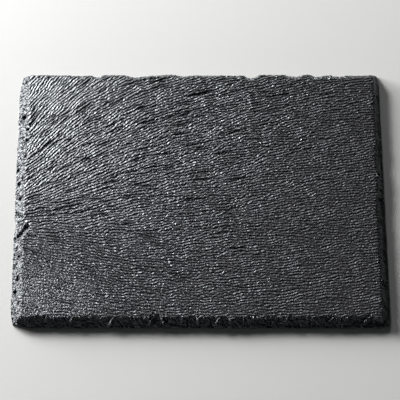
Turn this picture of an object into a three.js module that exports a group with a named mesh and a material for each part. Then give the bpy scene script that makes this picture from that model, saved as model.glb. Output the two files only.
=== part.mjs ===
// A slate serving tray: one split slab of stone, lying flat on the table.
//
// The top is a natural cleft face. Its ripples open like a fan from a point on the left edge, where the
// slab was split from its block. All four edges are dressed by hand: blow after blow takes a shell-shaped
// flake off the rim, which leaves a sloping, scalloped margin down to a thin upright foot.
//
// Millimetres. +X runs to the right along the long side, +Y to the back, +Z up. The origin is on the
// table, under the middle of the slab.

import * as THREE from "three";

const { lerp, clamp } = THREE.MathUtils;

// The slab
const LENGTH = 300;
const WIDTH = 220;
const LEAN = 1.2; // the short sides aren't quite square: their back ends stand this far to the left
const THICKNESS = 7; // from the table to the highest ridge of the cleft face
const FACE = 6.6; // the cleft face's mean height
const RELIEF = THICKNESS - FACE; // how far its highest ridge stands above that

// The dressed margins
const FOOT = 1.1; // the upright strip left under them
const HOLLOW = 1.35; // above 1, a margin is hollow, as a shell-shaped break is
const FLAKE_REACH = [5, 12]; // half a flake's width, from the least to the most
const FLAKE_BITE = [0.05, 0.2]; // a flake's bite into the face, as a share of that
const FLAKE_STEP = [1.1, 1.7]; // from one flake to the next, as a share of that

// Each edge is looked at from outside: its margin's width at the left and right ends, how far a flake also
// nicks the foot, as a share of its bite, and the scars of the flakes that stand out, with how far along the
// edge they lie, half their width and their bite. The back edge was struck right through the slab.
const EDGES = {
  front: {
    leftWidth: 6.8,
    rightWidth: 6.9,
    nickShare: 0.15,
    seed: 11,
    scars: [
      { at: 26, reach: 13, bite: 2 },
      { at: 67, reach: 6, bite: 1.4 },
      { at: 115, reach: 6.5, bite: 2.9 },
      { at: 150, reach: 22, bite: 1.2 },
      { at: 251, reach: 8, bite: 1.8 },
      { at: 280, reach: 8, bite: 2.3 },
    ],
  },
  right: {
    leftWidth: 6.4,
    rightWidth: 4.2,
    nickShare: 0.15,
    seed: 23,
    scars: [{ at: 63, reach: 10, bite: 1.4 }],
  },
  back: {
    leftWidth: 3.6,
    rightWidth: 2.3,
    nickShare: 0.9,
    seed: 37,
    scars: [
      { at: 10, reach: 11, bite: 1.6 },
      { at: 34, reach: 11, bite: 2.9 },
      { at: 52, reach: 7, bite: 3.5 },
      { at: 71, reach: 9, bite: 3.1 },
      { at: 107, reach: 7, bite: 5.4 },
      { at: 122, reach: 16, bite: 2 },
      { at: 143, reach: 16, bite: 1.7 },
      { at: 163, reach: 8, bite: 2.8 },
      { at: 201, reach: 12, bite: 4.3 },
      { at: 218, reach: 11, bite: 1.2 },
      { at: 234, reach: 6, bite: 4.3 },
      { at: 254, reach: 27, bite: 2.1 },
    ],
  },
  left: {
    leftWidth: 7.6,
    rightWidth: 7,
    nickShare: 0.25,
    seed: 53,
    scars: [
      { at: 57, reach: 8, bite: 1.6 },
      { at: 76, reach: 6, bite: 1.5 },
      { at: 137, reach: 7, bite: 5.2 },
    ],
  },
};

// The broken corners: how much of the long side and of the short side each has lost. Front left comes
// first, then they go anticlockwise as seen from above.
const CORNERS = [
  { alongX: 6.2, alongY: 4 },
  { alongX: 3.1, alongY: 3.2 },
  { alongX: 2.6, alongY: 3.2 },
  { alongX: 6.2, alongY: 6.1 },
];
const CORNER_MARGIN = 5.5; // the sloping margin's width at a broken corner
const CORNER_REACH = 2; // how far in a break draws the grid along, in depths of the break

// The fan of ripples. Far from the split point they all turn to the back by `slope`. Near it they spread
// apart, by `spread` for each millimetre across them and by `most` at most, both as slopes. That dies away
// over the length `fade`.
const FAN = { x: -152, y: -21, slope: 0.1, spread: 0.0265, most: 1.65, fade: 68 };

// Broad undulations that follow the fan: their height, the distance from one to the next, where the first
// one starts, and how far they wander to the side
const SWELLS = [
  { height: 0.17, spacing: 33, start: 4, wander: 5 },
  { height: 0.14, spacing: 18.5, start: 11, wander: 3 },
  { height: 0.12, spacing: 11.7, start: 7, wander: 1.6 },
];
const WANDER_LENGTH = 95; // along the ripples, from one bend to the next but one

// The grid that carries the upper side
const CELL = 4.6; // the length of a cell, along an edge and over the face
const MARGIN_LINES = [0, 0.3, 0.65, 1]; // grid lines across a margin, as shares of its width

// A stream of numbers from 0 to 1 that is the same at every run
function draws(seed) {
  let state = seed * 7919;
  return () => {
    state = (state * 48271) % 2147483647;
    return state / 2147483647;
  };
}

// The plan's corners before they were broken, in the order of CORNERS
const corners = [
  new THREE.Vector2(-LENGTH / 2 + LEAN, -WIDTH / 2),
  new THREE.Vector2(LENGTH / 2, -WIDTH / 2),
  new THREE.Vector2(LENGTH / 2 - LEAN, WIDTH / 2),
  new THREE.Vector2(-LENGTH / 2, WIDTH / 2),
];

// An edge as a line with directions of its own, and flakes laid end to end along it
function dressedEdge(from, to, { leftWidth, rightWidth, nickShare, seed, scars }) {
  const along = to.clone().sub(from).normalize();
  const inward = new THREE.Vector2(-along.y, along.x);
  const length = from.distanceTo(to);
  const draw = draws(seed);
  const flakes = [...scars];
  for (let at = 0; at < length; ) {
    const reach = lerp(...FLAKE_REACH, draw());
    flakes.push({ at: at + reach, reach, bite: reach * lerp(...FLAKE_BITE, draw()) });
    at += reach * lerp(...FLAKE_STEP, draw());
  }
  return { from, along, inward, length, leftWidth, rightWidth, nickShare, flakes };
}

const front = dressedEdge(corners[0], corners[1], EDGES.front);
const right = dressedEdge(corners[1], corners[2], EDGES.right);
const back = dressedEdge(corners[2], corners[3], EDGES.back);
const left = dressedEdge(corners[3], corners[0], EDGES.left);

// A broken corner is a straight cut across it. `lost` is the distance from the cut to the old corner.
function brokenCorner(corner, { alongX, alongY }) {
  const from = new THREE.Vector2(corner.x - Math.sign(corner.x) * alongX, corner.y);
  const to = new THREE.Vector2(corner.x, corner.y - Math.sign(corner.y) * alongY);
  const cut = to.clone().sub(from).normalize();
  const inward = new THREE.Vector2(-cut.y, cut.x);
  if (inward.dot(corner) > 0) inward.negate();
  return { from, inward, lost: from.clone().sub(corner).dot(inward) };
}

const breaks = corners.map((corner, index) => brokenCorner(corner, CORNERS[index]));

// Where a point lies beside a line: `s` along it and `d` in from it
function beside({ from, along, inward }, point) {
  const offset = point.clone().sub(from);
  return { s: along ? offset.dot(along) : 0, d: offset.dot(inward) };
}

// How far the flakes bite into the face at the place `s` along an edge. Each one leaves a rounded bay,
// and where two bays meet there is a sharp rib.
function bayDepth(edge, s) {
  const bays = edge.flakes.map(({ at, reach, bite }) => bite * (1 - ((s - at) / reach) ** 2));
  return Math.max(0, ...bays);
}

// How far the whole margin reaches in from the edge at the place `s` along it
function marginWidth(edge, s) {
  return lerp(edge.leftWidth, edge.rightWidth, clamp(s / edge.length, 0, 1)) + bayDepth(edge, s);
}

// A margin's height at the distance `d` in from the edge, where it is `width` wide
function marginHeight(d, width) {
  return FOOT + (FACE - FOOT) * (Math.max(d, 0) / width) ** HOLLOW;
}

// The cleft face's height. A ripple is a line on which `ripple` stays the same: that is its distance from
// the split point's own ripple, measured to the back, far from the split point.
function faceHeight(x, y) {
  const out = x - FAN.x;
  const closing = Math.exp(FAN.spread * FAN.fade * Math.exp(-out / FAN.fade));
  const turn = (FAN.spread / FAN.most) * (y - FAN.y - FAN.slope * out);
  const ripple = (FAN.most / FAN.spread) * Math.asinh(Math.sinh(turn) * closing);
  const bend = Math.sin((2 * Math.PI * (x + ripple)) / WANDER_LENGTH);
  let height = 0;
  for (const swell of SWELLS) {
    const place = (ripple - swell.start + swell.wander * bend) / swell.spacing;
    height += swell.height * Math.cos(2 * Math.PI * place);
  }
  return FACE + clamp(height, -RELIEF, RELIEF);
}

// The upper side's height at a point of the plan: the lowest of the face, the margins and the breaks
function upperSide(point) {
  let height = faceHeight(point.x, point.y);
  for (const edge of [front, right, back, left]) {
    const { s, d } = beside(edge, point);
    height = Math.min(height, marginHeight(d, marginWidth(edge, s)));
  }
  for (const corner of breaks) {
    height = Math.min(height, marginHeight(beside(corner, point).d, CORNER_MARGIN));
  }
  return height;
}

// The grid lines across the slab, from one edge to the opposite one. A line lies over the margin at the
// near end, over the face, or over the margin at the far end, at a share of the way across it.
function gridLines(length) {
  const cells = Math.round(length / CELL);
  return [
    ...MARGIN_LINES.map((share) => ({ over: "near", share })),
    ...Array.from({ length: cells - 1 }, (_, index) => ({ over: "face", share: (index + 1) / cells })),
    ...MARGIN_LINES.map((share) => ({ over: "far", share })).reverse(),
  ];
}

// How far a grid line lies from the near edge, where the edges are `span` apart. The lines bend round the
// bays, so that one of them always runs along the brow of a margin.
function gridPlace({ over, share }, span, near, far) {
  if (over === "near") return lerp(near.nick, near.width, share);
  if (over === "far") return span - lerp(far.nick, far.width, share);
  return lerp(near.width, span - far.width, share);
}

// A margin at the place `s` along its edge
function marginAt(edge, s) {
  return { width: marginWidth(edge, s), nick: edge.nickShare * bayDepth(edge, s) };
}

// Draws a point in from a broken corner: what lay on the old corner comes to lie on the cut
function drawnIn(point) {
  for (const corner of breaks) {
    const { d } = beside(corner, point);
    const reach = CORNER_REACH * corner.lost;
    const shift = (corner.lost * (reach - d)) / (reach + corner.lost);
    if (d < reach) point.addScaledVector(corner.inward, shift);
  }
  return point;
}

// The plan place of the grid's point on a column and a row: first as if no flake bit deeper than another,
// then with the bays that it meets there
function gridPoint(column, row) {
  const across = LENGTH - LEAN;
  const even = { width: left.leftWidth, nick: 0 };
  const x = gridPlace(column, across, even, even);
  const y = gridPlace(row, WIDTH, even, even);
  const bayedX = gridPlace(column, across, marginAt(left, WIDTH - y), marginAt(right, y));
  const bayedY = gridPlace(row, WIDTH, marginAt(front, x), marginAt(back, across - x));
  const leftSide = corners[0].x - (LEAN * bayedY) / WIDTH;
  return drawnIn(new THREE.Vector2(leftSide + bayedX, bayedY - WIDTH / 2));
}

// The slab: the grid's points on the upper side, and the outermost of them again on the table
function slab() {
  const columns = gridLines(LENGTH);
  const rows = gridLines(WIDTH);
  const plan = rows.map((row) => columns.map((column) => gridPoint(column, row)));
  const positions = plan.flat().flatMap((point) => [point.x, point.y, upperSide(point)]);
  const triangles = [];
  const index = (column, row) => row * columns.length + column;

  // Each cell is cut along the diagonal that lies closer to the stone
  for (let row = 0; row + 1 < rows.length; row += 1) {
    for (let column = 0; column + 1 < columns.length; column += 1) {
      const a = index(column, row);
      const b = index(column + 1, row);
      const c = index(column + 1, row + 1);
      const d = index(column, row + 1);
      const height = (corner) => positions[3 * corner + 2];
      const middle = plan[row][column].clone().add(plan[row + 1][column + 1]).multiplyScalar(0.5);
      const stone = upperSide(middle);
      const missAC = Math.abs((height(a) + height(c)) / 2 - stone);
      const missBD = Math.abs((height(b) + height(d)) / 2 - stone);
      triangles.push(...(missAC < missBD ? [a, b, c, a, c, d] : [a, b, d, b, c, d]));
    }
  }

  // The rim, anticlockwise as seen from above
  const lastColumn = columns.length - 1;
  const lastRow = rows.length - 1;
  const rim = [
    ...columns.slice(1).map((_, column) => index(column, 0)),
    ...rows.slice(1).map((_, row) => index(lastColumn, row)),
    ...columns.slice(1).map((_, column) => index(lastColumn - column, lastRow)),
    ...rows.slice(1).map((_, row) => index(0, lastRow - row)),
  ];
  const outline = rim.map((point) => plan.flat()[point]);
  const footStart = positions.length / 3;
  positions.push(...outline.flatMap(({ x, y }) => [x, y, 0]));

  // The upright foot, and the flat underside
  rim.forEach((upper, place) => {
    const next = (place + 1) % rim.length;
    const lower = footStart + place;
    triangles.push(upper, lower, footStart + next, upper, footStart + next, rim[next]);
  });
  for (const [a, b, c] of THREE.ShapeUtils.triangulateShape(outline, [])) {
    triangles.push(footStart + a, footStart + c, footStart + b);
  }

  const geometry = new THREE.BufferGeometry();
  geometry.setAttribute("position", new THREE.Float32BufferAttribute(positions, 3));
  geometry.setIndex(triangles);
  geometry.computeVertexNormals();
  return geometry;
}

const stone = new THREE.MeshStandardMaterial({ color: 0x45494b, roughness: 0.6, metalness: 0 });
const slate = new THREE.Mesh(slab(), stone);
slate.name = "slate";

const tray = new THREE.Group();
tray.add(slate);

export default tray;
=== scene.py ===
"""A slate serving tray, dressed for its picture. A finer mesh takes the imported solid's place, with the
cleft face's ripples and the broken margins, and gets the stone's finish. Then come the floor, the lights
and the camera. Shapes are worked out in millimetres and made in metres."""

import math

import bpy
import numpy as np
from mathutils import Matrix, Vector


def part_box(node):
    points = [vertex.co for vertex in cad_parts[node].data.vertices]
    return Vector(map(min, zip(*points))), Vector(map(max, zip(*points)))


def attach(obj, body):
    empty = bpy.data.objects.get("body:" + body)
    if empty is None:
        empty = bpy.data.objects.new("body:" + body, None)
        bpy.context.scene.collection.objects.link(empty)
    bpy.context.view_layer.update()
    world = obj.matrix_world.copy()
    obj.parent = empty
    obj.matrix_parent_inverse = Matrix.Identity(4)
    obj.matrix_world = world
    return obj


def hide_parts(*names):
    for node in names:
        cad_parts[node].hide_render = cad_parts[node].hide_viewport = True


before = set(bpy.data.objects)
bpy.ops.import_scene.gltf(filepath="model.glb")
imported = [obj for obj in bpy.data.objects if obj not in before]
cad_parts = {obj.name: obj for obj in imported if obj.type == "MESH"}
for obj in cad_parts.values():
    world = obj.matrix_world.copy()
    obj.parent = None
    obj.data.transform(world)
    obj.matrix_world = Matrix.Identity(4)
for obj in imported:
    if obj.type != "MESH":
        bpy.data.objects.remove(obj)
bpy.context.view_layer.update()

MM = 0.001
slab_low, slab_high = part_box("slate")
LOW, HIGH = slab_low / MM, slab_high / MM
THICKNESS = HIGH.z - LOW.z


# ---------------------------------------------------------------- sizes that the solid has too

HALF_X, HALF_Y = 150.0, 110.0
LEAN = 1.2  # the back ends of the short sides stand this far to the left
FACE = 6.6  # the cleft face's mean height
FOOT = 1.1  # the upright strip under the margins
HOLLOW = 1.35  # above 1, a margin is hollow

# Each edge is looked at from outside: its margin's widths at the left and right ends, how far a flake also
# nicks the foot, as a share of its bite, and the scars of the flakes that stand out, with how far along the
# edge they lie, half their width and their bite.
EDGES = {
    "front": dict(widths=(6.8, 6.9), nick=0.15, seed=11, scars=(
        (26, 13, 2.0), (67, 6, 1.4), (115, 6.5, 2.9), (150, 22, 1.2), (251, 8, 1.8), (280, 8, 2.3))),
    "right": dict(widths=(6.4, 4.2), nick=0.15, seed=23, scars=((63, 10, 1.4),)),
    "back": dict(widths=(3.6, 2.3), nick=0.9, seed=37, scars=(
        (10, 11, 1.6), (34, 11, 2.9), (52, 7, 3.5), (71, 9, 3.1), (107, 7, 5.4), (122, 16, 2.0),
        (143, 16, 1.7), (163, 8, 2.8), (201, 12, 4.3), (218, 11, 1.2), (234, 6, 4.3), (254, 27, 2.1))),
    "left": dict(widths=(7.6, 7.0), nick=0.25, seed=53, scars=((57, 8, 1.6), (76, 6, 1.5), (137, 7, 5.2))),
}
# Common flakes: half the width, the bite as a share of that, and the step to the next as a share of it too,
# each from the least to the most
FLAKES = dict(reaches=(5, 12), bites=(0.05, 0.2), steps=(1.1, 1.7))
DRAW_START, DRAW_FACTOR, DRAW_PRIME = 7919, 48271, 2147483647

CORNERS = ((6.2, 4.0), (3.1, 3.2), (2.6, 3.2), (6.2, 6.1))  # lost along x and y, front left first
CORNER_MARGIN = 5.5  # the margin's width at a broken corner
CORNER_REACH = 2.0  # how far in a break draws the grid along, in depths of the break

# The fan of ripples
FAN_X, FAN_Y = -152.0, -21.0  # the split point
FAN_SLOPE = 0.1  # far from it, they all turn to the back by this
FAN_SPREAD = 0.0265  # near it they spread apart, by this for each millimetre across them
FAN_MOST = 1.65  # and by this at most
FAN_FADE = 68.0  # the length over which that dies away


# ---------------------------------------------------------------- what the solid leaves out

# The cleft face's relief: how high its ripples stand, and how far they run along the fan
RIPPLE_HEIGHT, RIPPLE_RUN, RIPPLE_STEPS = 0.15, 9.0, 28
BROAD_HEIGHT, SWELL_HEIGHT, BROAD_RUN = 0.028, 0.02, 14.0
GRAIN_HEIGHTS = (0.02, 0.06)  # where the ripples are whole, and where they are broken up
UNEVENNESS, UNEVEN_LIMITS = 0.15, (0.4, 1.7)  # how much stronger or weaker they get from place to place
FACE_DROP, DEEPEST = 0.05, 0.8  # how far the relief lies below the mean height, and how deep it may go
WOBBLE = math.radians(3.5)  # how far the ripples stray from the fan

# Round the split point the ripples are higher and longer
SPLIT_REACH, SPLIT_SQUEEZE = 45, 1.5  # how far round it, and how much less far to the front and the back
SPLIT_RUN = 3  # how much further they run

# Where the face changes, over stretches of x and of y. A lean adds that share of y to x.
BOLD_LEVELS, BOLD_X, BOLD_LEAN = (1.35, 0.5), (-40, 140), -0.6  # it fades towards the front right
CALM_LEVELS, CALM_X = (1.0, 0.68), (-60, -150)  # and is calmer at the left end
WORMY_MOST, WORMY_X, WORMY_Y = 0.8, (-40, 70), (10, -80)  # the ripples are broken up at the front right
GRAINY_MOST, GRAINY_X, GRAINY_Y = 0.6, (-80, -145), (-40, -82)  # and lost in grain at the front left
GRAINY_LEAN = 0.3
GRAINY_RUN, GRAINY_SLOPE = 2.0, -0.2  # how far the ripples run there, and their slope
GRAINY_WOBBLE = 2  # how much more they stray there

# The margins
CHIPS = dict(reaches=(0.8, 3.2), bites=(0.12, 0.4), steps=(0.9, 2.6))  # small, and laid as the flakes are
CHIP_NICK = 0.45  # how far a chip nicks the foot, as a share of its bite
LAMINA = 1.25  # the pitch of the ledges
LEDGE_SHARE = 0.8  # how much of the full step they have
LEDGE_RISER = 0.35  # how much of the pitch the steep part takes
LEDGE_WARP = 0.5  # how far they rise and fall along the edge, in pitches
CRUMBLE = dict(front=0.2, right=0.03, back=0.12, left=0.2)  # how coarse each margin is
HACKLES = dict(front=0.24, right=0.03, back=0.14, left=0.06)  # fine lines down the slope
RIBBED = dict(front=1.3, right=0.0, back=0.4, left=0.0)  # short ribs below the brow
PITTED = dict(front=0.3, right=0.0, back=0.7, left=1.7)
ROUGH_FROM, ROUGH_TO, RIBS_FROM = (0, 0.12), (1.0, 0.85), (0.3, 0.9)  # shares of the margin's width
PITS = (  # on the left margin: place, radius and depth
    (-144.0, 70.0, 1.9, 3.4), (-140.7, 57.8, 1.3, 2.0), (-140.5, 48.5, 1.5, 1.8), (-141.4, 34.5, 1.3, 1.8),
    (-147.2, 23.3, 1.2, 1.4), (-146.0, 10.9, 1.4, 1.8), (-144.2, -2.2, 1.7, 2.2), (-142.6, -52.0, 1.5, 2.0),
    (-145.8, -61.0, 1.2, 1.6), (-143.2, -71.0, 1.5, 1.8), (-145.5, -80.5, 1.7, 2.2),
    (-142.2, -90.5, 1.2, 1.6))
GROOVE_START, GROOVE_END = (-138.6, -27.0), (-147.0, -37.8)  # the slanting scar on the left margin
GROOVE_REACH, GROOVE_HEIGHTS = 3.6, (3.3, 1.4)
CUT_LIMIT = 0.35 * FOOT  # the least height that a pit or the groove leaves
ARRISES = (  # ridges left between the front margin's flakes: place, lean, bow and how far out they run
    (-119.0, -0.5, 0.05, 5.6), (-109.0, 0.5, 0.0, 4.6), (-99.0, -0.6, 0.05, 6.4), (-66.5, -0.8, 0.03, 9.0),
    (-33.5, -1.6, 0.13, 9.0), (-32.0, 1.3, -0.11, 8.0), (0.4, -0.6, 0.04, 7.2), (15.5, -0.5, 0.0, 7.4),
    (25.6, -0.8, 0.05, 6.0), (70.0, -1.0, 0.08, 7.4), (106.5, -1.4, 0.05, 8.0), (136.0, -1.8, 0.1, 8.4))
ARRIS_SLOPE = 0.95  # of a ridge's flanks
ARRIS_LIP, ARRIS_FALL = 0.38, 0.12  # how far its crest stands over the face at the brow, and how it falls

# What the finish goes by
MARGIN_FROM = (0.15, 0.9)  # depths below the face over which it turns into margin
BROW_FROM, BROW_TO = (0.0, 0.2), (0.9, 0.3)  # depths over which the paler brow comes and goes: partly wear, partly a painted highlight along the edge
CREST_FROM = (0.1, 0.35)  # heights over the face's mean from which crests are painted paler, partly as wear and partly as a highlight
ON_FACE = 0.01  # what is less deep than this is still face
FOOT_WEAR = 0.3
MARGIN_STRAY = math.radians(25)  # how far the lines on a margin stray from the way down

# The fine mesh
MARGIN_CELLS = 13  # across a margin
FACE_COLUMNS, FACE_ROWS = 270, 278  # cells over the face
CROWDING = 0.28  # how much closer than the mean the columns stand at the left, where the ripples turn
MARGIN_GUESS = 7.5  # a margin's rough width, to find how far along the edges the grid lines end
UNDER_CELLS = 6  # the underside's cells are this many times coarser
UNDER_HOLLOW = 0.12  # how high the underside stands over the table on average
RASTER = 0.4  # the pitch of the height fields
RASTER_REACH = 6.0  # how far they run past the slab
LAST_CELL = 1.001  # keeps a place within the raster's last cell
STREAK_STEP = 0.5


def lerp(a, b, t):
    return a + (b - a) * t


def smooth(low, high, value):
    """A soft step from 0 at low to 1 at high, whichever of the two is the greater."""
    t = np.clip((value - low) / (high - low), 0, 1)
    return t * t * (3 - 2 * t)


# ---------------------------------------------------------------- the plan, as in the solid

def draws(seed):
    """A stream of numbers from 0 to 1 that is the same at every run, and in the solid."""
    state = seed * DRAW_START
    while True:
        state = state * DRAW_FACTOR % DRAW_PRIME
        yield state / DRAW_PRIME


class Edge:
    """A dressed edge: a line with directions of its own, and its flakes and chips. Places have an s, how far
    along it they are, and a d, how far inside it."""

    def __init__(self, start, end, widths, nick, seed, scars):
        self.start = np.array(start)
        span = np.array(end) - self.start
        self.length = np.hypot(*span)
        self.along = span / self.length
        self.inward = np.array((-self.along[1], self.along[0]))
        self.widths = widths
        self.nick_share = nick
        self.flakes = [*scars, *self.row(seed, **FLAKES)]
        self.chips = self.row(seed + 1, **CHIPS)

    def row(self, seed, reaches, bites, steps):
        """Breaks laid end to end: the place, half the width and the bite of each."""
        draw = draws(seed)
        row = []
        at = 0.0
        while at < self.length:
            reach = lerp(*reaches, next(draw))
            row.append((at + reach, reach, reach * lerp(*bites, next(draw))))
            at += reach * lerp(*steps, next(draw))
        return row

    def beside(self, x, y):
        """A place's s and d."""
        dx, dy = x - self.start[0], y - self.start[1]
        return dx * self.along[0] + dy * self.along[1], dx * self.inward[0] + dy * self.inward[1]

    def bay(self, s, row):
        """How far the breaks bite in."""
        depth = np.zeros_like(s)
        for at, reach, bite in row:
            depth = np.maximum(depth, bite * (1 - ((s - at) / reach) ** 2))
        return depth

    def width(self, s):
        """How far in the margin ends, at the brow."""
        even = lerp(*self.widths, np.clip(s / self.length, 0, 1))
        return even + self.bay(s, self.flakes) + self.bay(s, self.chips)

    def nick(self, s):
        """How far in the margin starts, at the foot."""
        return self.nick_share * self.bay(s, self.flakes) + CHIP_NICK * self.bay(s, self.chips)

    def margin(self, s):
        return self.nick(s), self.width(s)


# The corners before they were broken, front left first
PLAN = ((-HALF_X + LEAN, -HALF_Y), (HALF_X, -HALF_Y), (HALF_X - LEAN, HALF_Y), (-HALF_X, HALF_Y))
EDGE_LINES = {name: Edge(PLAN[i], PLAN[(i + 1) % 4], **EDGES[name]) for i, name in enumerate(EDGES)}
front, right, back, left = EDGE_LINES.values()


def broken_corner(corner, lost_x, lost_y):
    """The line that a corner broke along: a point on it, its direction inward, and how deep the break is."""
    x, y = corner
    sx, sy = math.copysign(1, x), math.copysign(1, y)
    inward = -np.array((sx * lost_y, sy * lost_x)) / math.hypot(lost_x, lost_y)
    start = np.array((x - sx * lost_x, y))
    return start, inward, float((start - np.array(corner)) @ inward)


BREAKS = [broken_corner(corner, *lost) for corner, lost in zip(PLAN, CORNERS)]


def margin_height(d, width):
    return FOOT + (FACE - FOOT) * (np.maximum(d, 0) / width) ** HOLLOW


# ---------------------------------------------------------------- height fields on a raster

raster_x = np.arange(-HALF_X - RASTER_REACH, HALF_X + RASTER_REACH, RASTER)
raster_y = np.arange(-HALF_Y - RASTER_REACH, HALF_Y + RASTER_REACH, RASTER)
RX, RY = np.meshgrid(raster_x, raster_y)


def sampled(field, x, y):
    """The field between its raster points."""
    u = np.clip((x - raster_x[0]) / RASTER, 0, len(raster_x) - LAST_CELL)
    v = np.clip((y - raster_y[0]) / RASTER, 0, len(raster_y) - LAST_CELL)
    i, j = u.astype(int), v.astype(int)
    fu, fv = u - i, v - j
    low = lerp(field[j, i], field[j, i + 1], fu)
    high = lerp(field[j + 1, i], field[j + 1, i + 1], fu)
    return lerp(low, high, fv)


def band_noise(seed, fine, coarse, along_x=1.0, along_y=1.0):
    """Noise with features between two sizes, drawn out along x or y, with a mean of 0 and a spread of 1."""
    white = np.random.default_rng(seed).standard_normal(RX.shape)
    fx = np.fft.fftfreq(RX.shape[1], RASTER)[None, :]
    fy = np.fft.fftfreq(RX.shape[0], RASTER)[:, None]
    square = (2 * np.pi) ** 2 * ((fx * along_x) ** 2 + (fy * along_y) ** 2)
    keep = np.exp(-square * fine ** 2 / 2) - np.exp(-square * coarse ** 2 / 2)
    field = np.fft.ifft2(np.fft.fft2(white) * keep).real
    return (field - field.mean()) / field.std()


def streaked(noise, angle, reach, steps=20):
    """The noise drawn out along the angle field: its mean along each streamline, fading over the reach."""
    ux, uy = np.cos(angle), np.sin(angle)
    total = noise.copy()
    weights = np.ones_like(noise)
    for sign in (-1, 1):
        x, y = RX.copy(), RY.copy()
        for k in range(1, steps + 1):
            x = x + sign * STREAK_STEP * sampled(ux, x, y)
            y = y + sign * STREAK_STEP * sampled(uy, x, y)
            weight = np.exp(-((k * STREAK_STEP / reach) ** 2))
            total += weight * sampled(noise, x, y)
            weights += weight
    field = total / weights
    return field / field.std()


# ---------------------------------------------------------------- the cleft face

def fan_line(x, y):
    """The ripple that a place is on. It has the same value all along one ripple."""
    out = x - FAN_X
    across = y - FAN_Y - FAN_SLOPE * out
    closing = np.exp(FAN_SPREAD * FAN_FADE * np.exp(-out / FAN_FADE))
    return FAN_MOST / FAN_SPREAD * np.arcsinh(np.sinh(FAN_SPREAD * across / FAN_MOST) * closing)


def ripple_angle():
    """Which way the ripples run."""
    line_y, line_x = np.gradient(fan_line(RX, RY), RASTER)
    wobble = WOBBLE * (1 + GRAINY_WOBBLE * grainy) * band_noise(3, fine=4.0, coarse=14.0)
    return np.arctan(lerp(-line_x / line_y, GRAINY_SLOPE, grainy)) + wobble


def cleft_relief():
    """The heights over the face's mean: ripples and grain, on broad ripples and swells."""
    split = np.exp(-(np.hypot(RX - FAN_X, SPLIT_SQUEEZE * (RY - FAN_Y)) / SPLIT_REACH) ** 2)
    ripple_run = lerp(RIPPLE_RUN + SPLIT_RUN * split, GRAINY_RUN, grainy)
    ripples = streaked(band_noise(5, fine=0.42, coarse=0.8), lie, ripple_run, RIPPLE_STEPS)
    grain = band_noise(6, fine=0.36, coarse=0.8)
    broad = streaked(band_noise(7, fine=1.1, coarse=2.6), lie, lerp(BROAD_RUN, GRAINY_RUN, grainy))
    swells = streaked(band_noise(9, fine=4.0, coarse=10.0), lie, BROAD_RUN)
    uneven = streaked(band_noise(13, fine=2.5, coarse=8.0), lie, RIPPLE_RUN)
    vigour = bold * np.clip(1 + UNEVENNESS * uneven, *UNEVEN_LIMITS)
    fine = RIPPLE_HEIGHT * (1 + split) * ripples + lerp(*GRAIN_HEIGHTS, wormy) * grain
    return -FACE_DROP + vigour * fine + BROAD_HEIGHT * broad + SWELL_HEIGHT * swells


bold = lerp(*BOLD_LEVELS, smooth(*BOLD_X, RX + BOLD_LEAN * RY))
bold *= lerp(*CALM_LEVELS, smooth(*CALM_X, RX))
grainy = GRAINY_MOST * smooth(*GRAINY_X, RX + GRAINY_LEAN * RY) * smooth(*GRAINY_Y, RY)
wormy = np.clip((smooth(*WORMY_X, RX) + smooth(*WORMY_Y, RY)) / 2, 0, WORMY_MOST)
lie = ripple_angle()
relief = cleft_relief()


# ---------------------------------------------------------------- the broken margins

ledge_warp = LEDGE_WARP * band_noise(21, fine=1.6, coarse=5.0)
ledge_share = LEDGE_SHARE * smooth(-0.4, 0.9, band_noise(22, fine=3.0, coarse=9.0))
crumble = band_noise(23, fine=0.3, coarse=0.9)
hackles_ahead = band_noise(24, fine=0.5, coarse=1.1, along_y=3.0)  # on the front and back margins
hackles_beside = band_noise(25, fine=0.5, coarse=1.1, along_x=3.0)
pitting = smooth(1.0, 1.9, band_noise(26, fine=0.45, coarse=1.1))
ribs = smooth(0.8, 2.2, band_noise(29, fine=0.4, coarse=0.9, along_y=2.5))


def stepped(field):
    """The field turned into terraces: level treads, and steep risers halfway between them."""
    tread = np.floor(field)
    return tread + smooth((1 - LEDGE_RISER) / 2, (1 + LEDGE_RISER) / 2, field - tread)


def margin_surface(x, y, d, width, name):
    """A margin: a hollow slope that breaks down over the ends of the laminae."""
    height = margin_height(d, width)
    share = d / width
    steps = height / LAMINA + sampled(ledge_warp, x, y)
    ledges = sampled(ledge_share, x, y) * LAMINA * (stepped(steps) + 0.5 - steps)
    hackles = hackles_ahead if name in ("front", "back") else hackles_beside
    rough = CRUMBLE[name] * sampled(crumble, x, y) + HACKLES[name] * sampled(hackles, x, y)
    rough += RIBBED[name] * sampled(ribs, x, y) * smooth(*RIBS_FROM, share)
    rough -= PITTED[name] * sampled(pitting, x, y)
    return height + smooth(*ROUGH_FROM, share) * smooth(*ROUGH_TO, share) * (ledges + rough)


def arrises(x, out):
    """How high the ridges on the front margin stand, so far out from the brow."""
    top = np.zeros_like(x)
    for place, lean, bow, reach in ARRISES:
        across = np.abs(x - place - lean * out - bow * out ** 2)
        crest = FACE + ARRIS_LIP - ARRIS_FALL * out - THICKNESS * np.maximum(0, out / reach) ** 4
        top = np.maximum(top, crest - ARRIS_SLOPE * across)
    return top


def pit_depth(x, y):
    depth = np.zeros_like(x)
    for px, py, radius, deep in PITS:
        depth = np.maximum(depth, deep * np.exp(-(((x - px) ** 2 + (y - py) ** 2) / radius ** 2) ** 2))
    return depth


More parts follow.
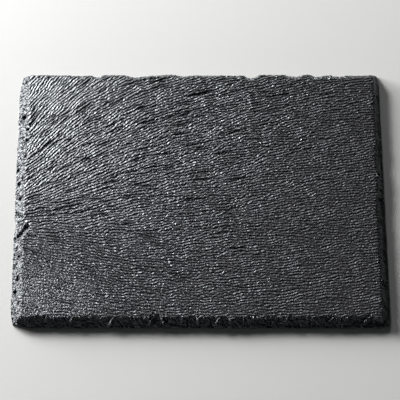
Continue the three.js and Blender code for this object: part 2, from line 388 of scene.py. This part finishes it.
def groove_height(x, y):
    """How high the groove lets the stone stand: a trough that falls towards the rim."""
    dx, dy = x - GROOVE_START[0], y - GROOVE_START[1]
    run_x, run_y = GROOVE_END[0] - GROOVE_START[0], GROOVE_END[1] - GROOVE_START[1]
    length = math.hypot(run_x, run_y)
    share = (dx * run_x + dy * run_y) / length ** 2
    away = (dx * run_y - dy * run_x) / length
    beyond = length * np.maximum(0, np.maximum(-share, share - 1))
    off = np.hypot(away, beyond) / GROOVE_REACH
    return lerp(*GROOVE_HEIGHTS, np.clip(share, 0, 1)) + THICKNESS * off ** 4


def upper_side(x, y):
    """The height at a place, how much it is margin rather than face, and how much paler it is painted: as
    wear, and as a highlight on crests and brows.
    """
    face = FACE + np.clip(sampled(relief, x, y), -DEEPEST, THICKNESS - FACE)
    height = face
    for name, edge in EDGE_LINES.items():
        s, d = edge.beside(x, y)
        margin = margin_surface(x, y, d, edge.width(s), name)
        if name == "front":
            margin = np.maximum(margin, arrises(x, edge.width(s) - d))
        height = np.minimum(height, margin)
    for start, inward, _ in BREAKS:
        d = (x - start[0]) * inward[0] + (y - start[1]) * inward[1]
        height = np.minimum(height, margin_surface(x, y, d, CORNER_MARGIN, "front"))
    below = face - height
    # Crests and brows are painted paler: partly wear, partly a painted highlight where their edges catch the
    # light.
    crest = smooth(*CREST_FROM, face - FACE) * (below < ON_FACE)
    brow = smooth(*BROW_FROM, below) * smooth(*BROW_TO, below)
    carved = np.clip(height - pit_depth(x, y), CUT_LIMIT, groove_height(x, y))
    return carved, smooth(*MARGIN_FROM, below), np.maximum(crest, brow)


# ---------------------------------------------------------------- the mesh

hollows = band_noise(28, fine=12.0, coarse=40.0)
straying = band_noise(27, fine=3.0, coarse=8.0)


def grid_lines(cells, crowding=0.0):
    """What each grid line is over, 0 the near margin, 1 the face, 2 the far one, and its share of that."""
    shares = np.linspace(0, 1, MARGIN_CELLS + 1)
    inner = np.arange(1, cells) / cells
    over = np.concatenate((np.zeros(MARGIN_CELLS + 1), np.ones(cells - 1), np.full(MARGIN_CELLS + 1, 2)))
    share = np.concatenate((shares, inner - crowding * inner * (1 - inner), shares[::-1]))
    return over, share


def grid_place(over, share, span, near_start, near_end, far_start, far_end):
    """How far across the slab each grid point stands, from where the two margins start and end."""
    near = lerp(near_start, near_end, share)
    far = span - lerp(far_start, far_end, share)
    face = lerp(near_end, span - far_end, share)
    return np.where(over == 0, near, np.where(over == 2, far, face))


def grid_plan():
    """Where the grid's points stand, with its lines bent round the flakes and drawn in at the corners."""
    column_over, column_share = grid_lines(FACE_COLUMNS, CROWDING)
    row_over, row_share = grid_lines(FACE_ROWS)
    over_x, over_y = np.meshgrid(column_over, row_over)
    share_x, share_y = np.meshgrid(column_share, row_share)
    wide, deep = 2 * HALF_X - LEAN, 2 * HALF_Y
    even = (0, MARGIN_GUESS)
    x = grid_place(over_x, share_x, wide, *even, *even)
    y = grid_place(over_y, share_y, deep, *even, *even)
    bent_x = grid_place(over_x, share_x, wide, *left.margin(deep - y), *right.margin(y))
    bent_y = grid_place(over_y, share_y, deep, *front.margin(x), *back.margin(wide - x))
    X = PLAN[0][0] - LEAN * bent_y / deep + bent_x
    Y = bent_y - HALF_Y
    for start, inward, lost in BREAKS:
        d = (X - start[0]) * inward[0] + (Y - start[1]) * inward[1]
        reach = CORNER_REACH * lost
        shift = np.where(d < reach, lost * (reach - d) / (reach + lost), 0)
        X, Y = X + shift * inward[0], Y + shift * inward[1]
    return np.clip(X, LOW.x, HIGH.x), np.clip(Y, LOW.y, HIGH.y)


def around(index):
    """A grid's outer points, from the near left corner to the right and on round."""
    return np.concatenate((index[0, :-1], index[:-1, -1], index[-1, :0:-1], index[:0:-1, 0]))


def cells(index):
    """A grid's four-sided faces. A grid turned over has them face down."""
    return np.stack((index[:-1, :-1], index[:-1, 1:], index[1:, 1:], index[1:, :-1]), -1).reshape(-1, 4)


def underside(top, columns, rows, foot):
    """Coarse points under the slab, their faces, and the faces that join them to the foot."""
    pick_x = np.append(np.arange(0, columns - 1, UNDER_CELLS), columns - 1)
    pick_y = np.append(np.arange(0, rows - 1, UNDER_CELLS), rows - 1)
    inner = top[(pick_y[1:-1, None] * columns + pick_x[None, 1:-1]).ravel()].copy()
    inner[:, 2] = UNDER_HOLLOW * (1 + np.clip(sampled(hollows, inner[:, 0], inner[:, 1]), -1, 1))
    index = foot[-1] + 1 + np.arange(len(inner)).reshape(len(pick_y) - 2, len(pick_x) - 2)
    faces = cells(index.T).tolist()
    ring = around(index)
    # Each side of the ring has stops on the foot, counted round it. A face spans the foot from stop to stop,
    # and one more at each corner spans it from a side's last stop to the next side's first.
    sides = (pick_x[1:-1], pick_y[1:-1], (columns - 1 - pick_x)[-2:0:-1], (rows - 1 - pick_y)[-2:0:-1])
    starts = np.cumsum((0, columns - 1, rows - 1, columns - 1))
    stops = [start + side for start, side in zip(starts, sides)]
    at = 0
    for side, stop in enumerate(stops):
        for low, high in zip(stop[:-1], stop[1:]):
            span = foot[np.arange(low, high + 1) % len(foot)]
            faces.append([ring[at], ring[(at + 1) % len(ring)], *span[::-1]])
            at += 1
        turn = stops[(side + 1) % 4][0] + (len(foot) if side == 3 else 0)
        span = foot[np.arange(stop[-1], turn + 1) % len(foot)]
        faces.append([ring[at % len(ring)], *span[::-1]])
    return inner, faces


def finish_attributes(places, margin, wear_and_highlight):
    """What the stone's finish goes by at each point. Lie is which way the fine lines run."""
    x, y = places[:, :2].T
    beside = np.minimum(right.beside(x, y)[1], left.beside(x, y)[1])
    ahead = np.minimum(front.beside(x, y)[1], back.beside(x, y)[1])
    down = np.where(ahead < beside, math.pi / 2, 0) + MARGIN_STRAY * sampled(straying, x, y)
    lines = np.where(margin > 0.5, down, sampled(lie, x, y))
    return dict(margin=margin, lie=lines, grainy=sampled(grainy, x, y), bold=sampled(bold, x, y), wear_and_highlight=wear_and_highlight)


def sharpen(mesh, foot):
    """Sharp edges round the foot, so that the rim and the underside are shaded apart."""
    ends = np.empty(2 * len(mesh.edges), dtype=np.int32)
    mesh.edges.foreach_get("vertices", ends)
    on_foot = ((ends >= foot[0]) & (ends <= foot[-1])).reshape(-1, 2).all(1)
    mesh.attributes.new("sharp_edge", "BOOLEAN", "EDGE").data.foreach_set("value", on_foot)


def slate_mesh():
    X, Y = grid_plan()
    Z, margin, wear_and_highlight = upper_side(X, Y)
    rows, columns = X.shape
    index = np.arange(rows * columns).reshape(rows, columns)
    rim = around(index)
    top = np.stack((X.ravel(), Y.ravel(), Z.ravel()), 1)
    foot_places = top[rim] * (1, 1, 0)
    foot = len(top) + np.arange(len(rim))
    wall = np.stack((rim, foot, np.roll(foot, -1), np.roll(rim, -1)), 1)
    inner, under = underside(top, columns, rows, foot)
    places = np.vstack((top, foot_places, inner))
    mesh = bpy.data.meshes.new("slate_stone")
    mesh.from_pydata((places * MM).tolist(), [], np.vstack((cells(index), wall)).tolist() + under)
    mesh.polygons.foreach_set("use_smooth", [True] * len(mesh.polygons))
    sharpen(mesh, foot)
    margin = np.concatenate((margin.ravel(), np.ones(len(foot)), np.zeros(len(inner))))
    # The foot and the underside get some of the paler grey, as wear.
    wear_and_highlight = np.concatenate((wear_and_highlight.ravel(), np.full(len(foot) + len(inner), FOOT_WEAR)))
    for name, values in finish_attributes(places, margin, wear_and_highlight).items():
        mesh.attributes.new(name, "FLOAT", "POINT").data.foreach_set("value", values.astype(np.float32))
    mesh.update()
    return mesh


slate = bpy.data.objects.new("slate_stone", slate_mesh())
bpy.context.scene.collection.objects.link(slate)
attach(slate, "root")
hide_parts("slate")


# ---------------------------------------------------------------- the stone's finish

# The stone is nearly black, and what shows is the gloss on its ripples, which is slightly blue
PLAIN_STONE = ((0.0034, 0.0014, 0.0019, 1), (0.0060, 0.0032, 0.0038, 1))  # the darker and the paler patches
RUBBED_AND_HIGHLIT_STONE, RUB_AND_HIGHLIGHT_MOST = (0.018, 0.018, 0.017, 1), 0.5  # paler grey on crests and brows, partly wear and partly a painted highlight, and on the foot and underside as wear
RUST = (0.010, 0.0055, 0.006, 1)
GLOSS_TINT, GLOSS_LEVEL = (0.925, 1.0, 1.055, 1), 0.92
ROUGHNESS = (0.42, 0.50)  # from place to place
ROUGHNESS_X, ROUGHNESS_ENDS = (-130, 100), (0.04, -0.03)  # what is added to it at the left and at the right
RUBBED_ROUGHNESS = -0.03  # and on crests and brows

# The bump, in millimetres
RIPPLES = ((0.14, 3.1, 2.2, 0.94), (0.3, 1.3, 1.4, 0.8))  # scale, frequency, height and evenness
RIPPLE_SHAKE = (0.45, 1.4)  # the scale and the reach of what pushes them about
GRAINY_RIPPLES = -0.75  # how much weaker they are at the front left
GRAIN_BUMP, GRAINY_BUMP, MARGIN_BUMP = 0.5, 1.2, 0.8  # the grain everywhere, and more of it in places
SMOOTH_X = (120, 138)  # from here on, the right margin has neither

# The noises: scale, detail and roughness, and the two levels between which each of them counts. The ripples
# on the margins come in patches.
PATCHES = ((0.34, 2.0, 0.5), (0.5, 0.66))
PALENESS = ((0.3, 3.0, 0.6), (0.35, 0.75))
RUSTING = ((0.045, 3.0, 0.6), (0.56, 0.72))
DULLING = ((0.5, 2.0, 0.5), (0.3, 0.7))
GRAIN = (0.62, 2.0, 0.62)
ATTRIBUTES = ("margin", "lie", "grainy", "bold", "wear_and_highlight")


class Shading:
    """A material's node tree, built by short calls. An input is given by its place or name, and gets a number
    or a socket."""

    def __init__(self, name):
        self.material = bpy.data.materials.new(name)
        self.material.use_nodes = True
        self.tree = self.material.node_tree
        self.shader = self.tree.nodes["Principled BSDF"]

    def plug(self, node, key, value):
        if isinstance(value, bpy.types.NodeSocket):
            self.tree.links.new(value, node.inputs[key])
        else:
            node.inputs[key].default_value = value

    def node(self, kind, inputs, **settings):
        node = self.tree.nodes.new("ShaderNode" + kind)
        for key, value in settings.items():
            setattr(node, key, value)
        for key, value in inputs.items():
            self.plug(node, key, value)
        return node

    def millimetres(self):
        place = self.node("TexCoord", {}).outputs["Object"]
        return self.node("VectorMath", {0: place, 3: 1 / MM}, operation="SCALE").outputs[0]

    def attribute(self, name):
        return self.node("Attribute", {}, attribute_name=name).outputs["Fac"]

    def math(self, operation, *values):
        return self.node("Math", dict(enumerate(values)), operation=operation).outputs[0]

    def noise(self, place, scale, detail, roughness):
        inputs = dict(Vector=place, Scale=scale, Detail=detail, Roughness=roughness)
        return self.node("TexNoise", inputs).outputs["Fac"]

    def patchy(self, place, noise, levels, at_low=0.0, at_high=1.0):
        """A value that changes from patch to patch, as the noise passes between its two levels."""
        return self.between(self.noise(place, *noise), *levels, at_low, at_high)

    def warped(self, place, scale, reach):
        """The place, pushed about by noise."""
        noise = self.node("TexNoise", dict(Vector=place, Scale=scale, Detail=1.0)).outputs["Color"]
        push = self.node("VectorMath", {0: noise, 1: (0.5, 0.5, 0.5)}, operation="SUBTRACT").outputs[0]
        inputs = {0: push, 1: (reach, reach, reach), 2: place}
        return self.node("VectorMath", inputs, operation="MULTIPLY_ADD").outputs[0]

    def ripples(self, place, wave, scale, frequency, height, evenness):
        """Short waves that travel in the direction given."""
        inputs = dict(Vector=place, Scale=scale, Frequency=frequency, Anisotropy=evenness, Orientation=wave)
        return self.math("MULTIPLY", self.node("TexGabor", inputs, gabor_type="2D").outputs["Value"], height)

    def between(self, value, low, high, at_low=0.0, at_high=1.0):
        inputs = {0: value, 1: low, 2: high, 3: at_low, 4: at_high}
        return self.node("MapRange", inputs, interpolation_type="SMOOTHSTEP").outputs[0]

    def mix_values(self, share, a, b):
        return self.node("Mix", {0: share, 2: a, 3: b}).outputs[0]

    def mix_colours(self, share, a, b):
        return self.node("Mix", {0: share, 6: a, 7: b}, data_type="RGBA").outputs[2]


def stone_bump(s, place, x, margin, lie, grainy, bold):
    """Ripples along the fan, in patches on the margins, and a grain that takes over where they are lost."""
    wave = s.math("ADD", lie, math.pi / 2)
    shaken = s.warped(place, *RIPPLE_SHAKE)
    ripples = s.math("ADD", *[s.ripples(shaken, wave, *sizes) for sizes in RIPPLES])
    on_face = s.math("MULTIPLY", s.math("MULTIPLY_ADD", grainy, GRAINY_RIPPLES, 1.0), bold)
    kept = s.mix_values(margin, on_face, s.patchy(place, *PATCHES))
    loud = s.math("SUBTRACT", 1.0, s.math("MULTIPLY", margin, s.between(x, *SMOOTH_X)))
    face_grain = s.math("MULTIPLY_ADD", grainy, GRAINY_BUMP, GRAIN_BUMP)
    coarse = s.math("MULTIPLY_ADD", margin, MARGIN_BUMP, face_grain)
    grain = s.math("MULTIPLY", s.noise(place, *GRAIN), s.math("MULTIPLY", coarse, loud))
    height = s.math("MULTIPLY_ADD", ripples, s.math("MULTIPLY", kept, loud), grain)
    return s.node("Bump", dict(Height=height, Distance=MM, Strength=1.0)).outputs[0]


def stone_colour(s, place, wear_and_highlight):
    """Nearly black, with paler and brownish patches, and grey where it is rubbed. On crests and brows that
    grey is partly a painted highlight.
    """
    plain = s.mix_colours(s.patchy(place, *PALENESS), *PLAIN_STONE)
    rubbed_and_highlit = s.mix_colours(s.math("MULTIPLY", wear_and_highlight, RUB_AND_HIGHLIGHT_MOST), plain, RUBBED_AND_HIGHLIT_STONE)
    return s.mix_colours(s.patchy(place, *RUSTING), rubbed_and_highlit, RUST)


def stone_roughness(s, place, x, wear_and_highlight):
    uneven = s.patchy(place, *DULLING, *ROUGHNESS)
    slanting = s.math("ADD", uneven, s.between(x, *ROUGHNESS_X, *ROUGHNESS_ENDS))
    return s.math("MULTIPLY_ADD", wear_and_highlight, RUBBED_ROUGHNESS, slanting)


def stone_material():
    s = Shading("slate_stone")
    place = s.millimetres()
    x = s.node("SeparateXYZ", {0: place}).outputs[0]
    margin, lie, grainy, bold, wear_and_highlight = [s.attribute(name) for name in ATTRIBUTES]
    s.plug(s.shader, "Normal", stone_bump(s, place, x, margin, lie, grainy, bold))
    s.plug(s.shader, "Base Color", stone_colour(s, place, wear_and_highlight))
    s.plug(s.shader, "Roughness", stone_roughness(s, place, x, wear_and_highlight))
    s.shader.inputs["Specular Tint"].default_value = GLOSS_TINT
    s.shader.inputs["Specular IOR Level"].default_value = GLOSS_LEVEL
    return s.material


slate.data.materials.append(stone_material())


# ---------------------------------------------------------------- the stage

FLOOR_HALF = 3.0  # metres, as all sizes from here on
FLOOR_COLOUR, FLOOR_ROUGHNESS = (0.53, 0.53, 0.52, 1), 0.9
LIGHT_DISTANCE, LIGHT_WIDTH, LIGHT_HEIGHT = 2, 0.7, 0.3
LIGHTS = (  # the azimuth, counted from the back towards the left, the elevation and the power
    ("window", 46, 18, 86), ("window_side", 66, 9, 110), ("window_low", 40, 10, 16),
    ("window_back", 10, 26, 10), ("fill", 150, 5, 5))
SKY_COLOUR, SKY_STRENGTH = (0.9, 0.95, 1, 1), 0.025
CAMERA_RISE, CAMERA_DISTANCE, CAMERA_LENS = math.radians(68.93), 1.242, 138.2
CAMERA_TARGET = Vector((0.0002, -0.00175, 0))


def floor_plane():
    h = FLOOR_HALF
    mesh = bpy.data.meshes.new("floor")
    mesh.from_pydata([(-h, -h, 0), (h, -h, 0), (h, h, 0), (-h, h, 0)], [], [(0, 1, 2, 3)])
    paper = bpy.data.materials.new("floor_paper")
    paper.use_nodes = True
    shader = paper.node_tree.nodes["Principled BSDF"]
    shader.inputs["Base Color"].default_value = FLOOR_COLOUR
    shader.inputs["Roughness"].default_value = FLOOR_ROUGHNESS
    mesh.materials.append(paper)
    floor = bpy.data.objects.new("floor", mesh)
    bpy.context.scene.collection.objects.link(floor)
    return floor


def area_light(name, azimuth, elevation, power):
    """A soft light aimed at the slab."""
    data = bpy.data.lights.new(name, "AREA")
    data.shape = "RECTANGLE"
    data.size, data.size_y = LIGHT_WIDTH, LIGHT_HEIGHT
    data.energy = power
    light = bpy.data.objects.new(name, data)
    a, e = math.radians(azimuth), math.radians(elevation)
    towards = Vector((-math.sin(a) * math.cos(e), math.cos(a) * math.cos(e), math.sin(e)))
    light.location = LIGHT_DISTANCE * towards
    light.rotation_euler = (-light.location).to_track_quat("-Z", "Y").to_euler()
    bpy.context.scene.collection.objects.link(light)


def sky():
    world = bpy.data.worlds.new("studio")
    world.use_nodes = True
    background = world.node_tree.nodes["Background"]
    background.inputs["Color"].default_value = SKY_COLOUR
    background.inputs["Strength"].default_value = SKY_STRENGTH
    return world


def front_camera():
    """A long lens, aimed at the slab from the front and well above."""
    data = bpy.data.cameras.new("camera")
    data.lens = CAMERA_LENS
    data.sensor_width = 36
    camera = bpy.data.objects.new("camera", data)
    away = Vector((0, -math.cos(CAMERA_RISE), math.sin(CAMERA_RISE)))
    camera.location = CAMERA_TARGET + CAMERA_DISTANCE * away
    camera.rotation_euler = (CAMERA_TARGET - camera.location).to_track_quat("-Z", "Y").to_euler()
    bpy.context.scene.collection.objects.link(camera)
    return camera


floor_plane()
for light in LIGHTS:
    area_light(*light)
bpy.context.scene.world = sky()
bpy.context.scene.camera = front_camera()
bpy.context.scene.view_settings.view_transform = "Standard"
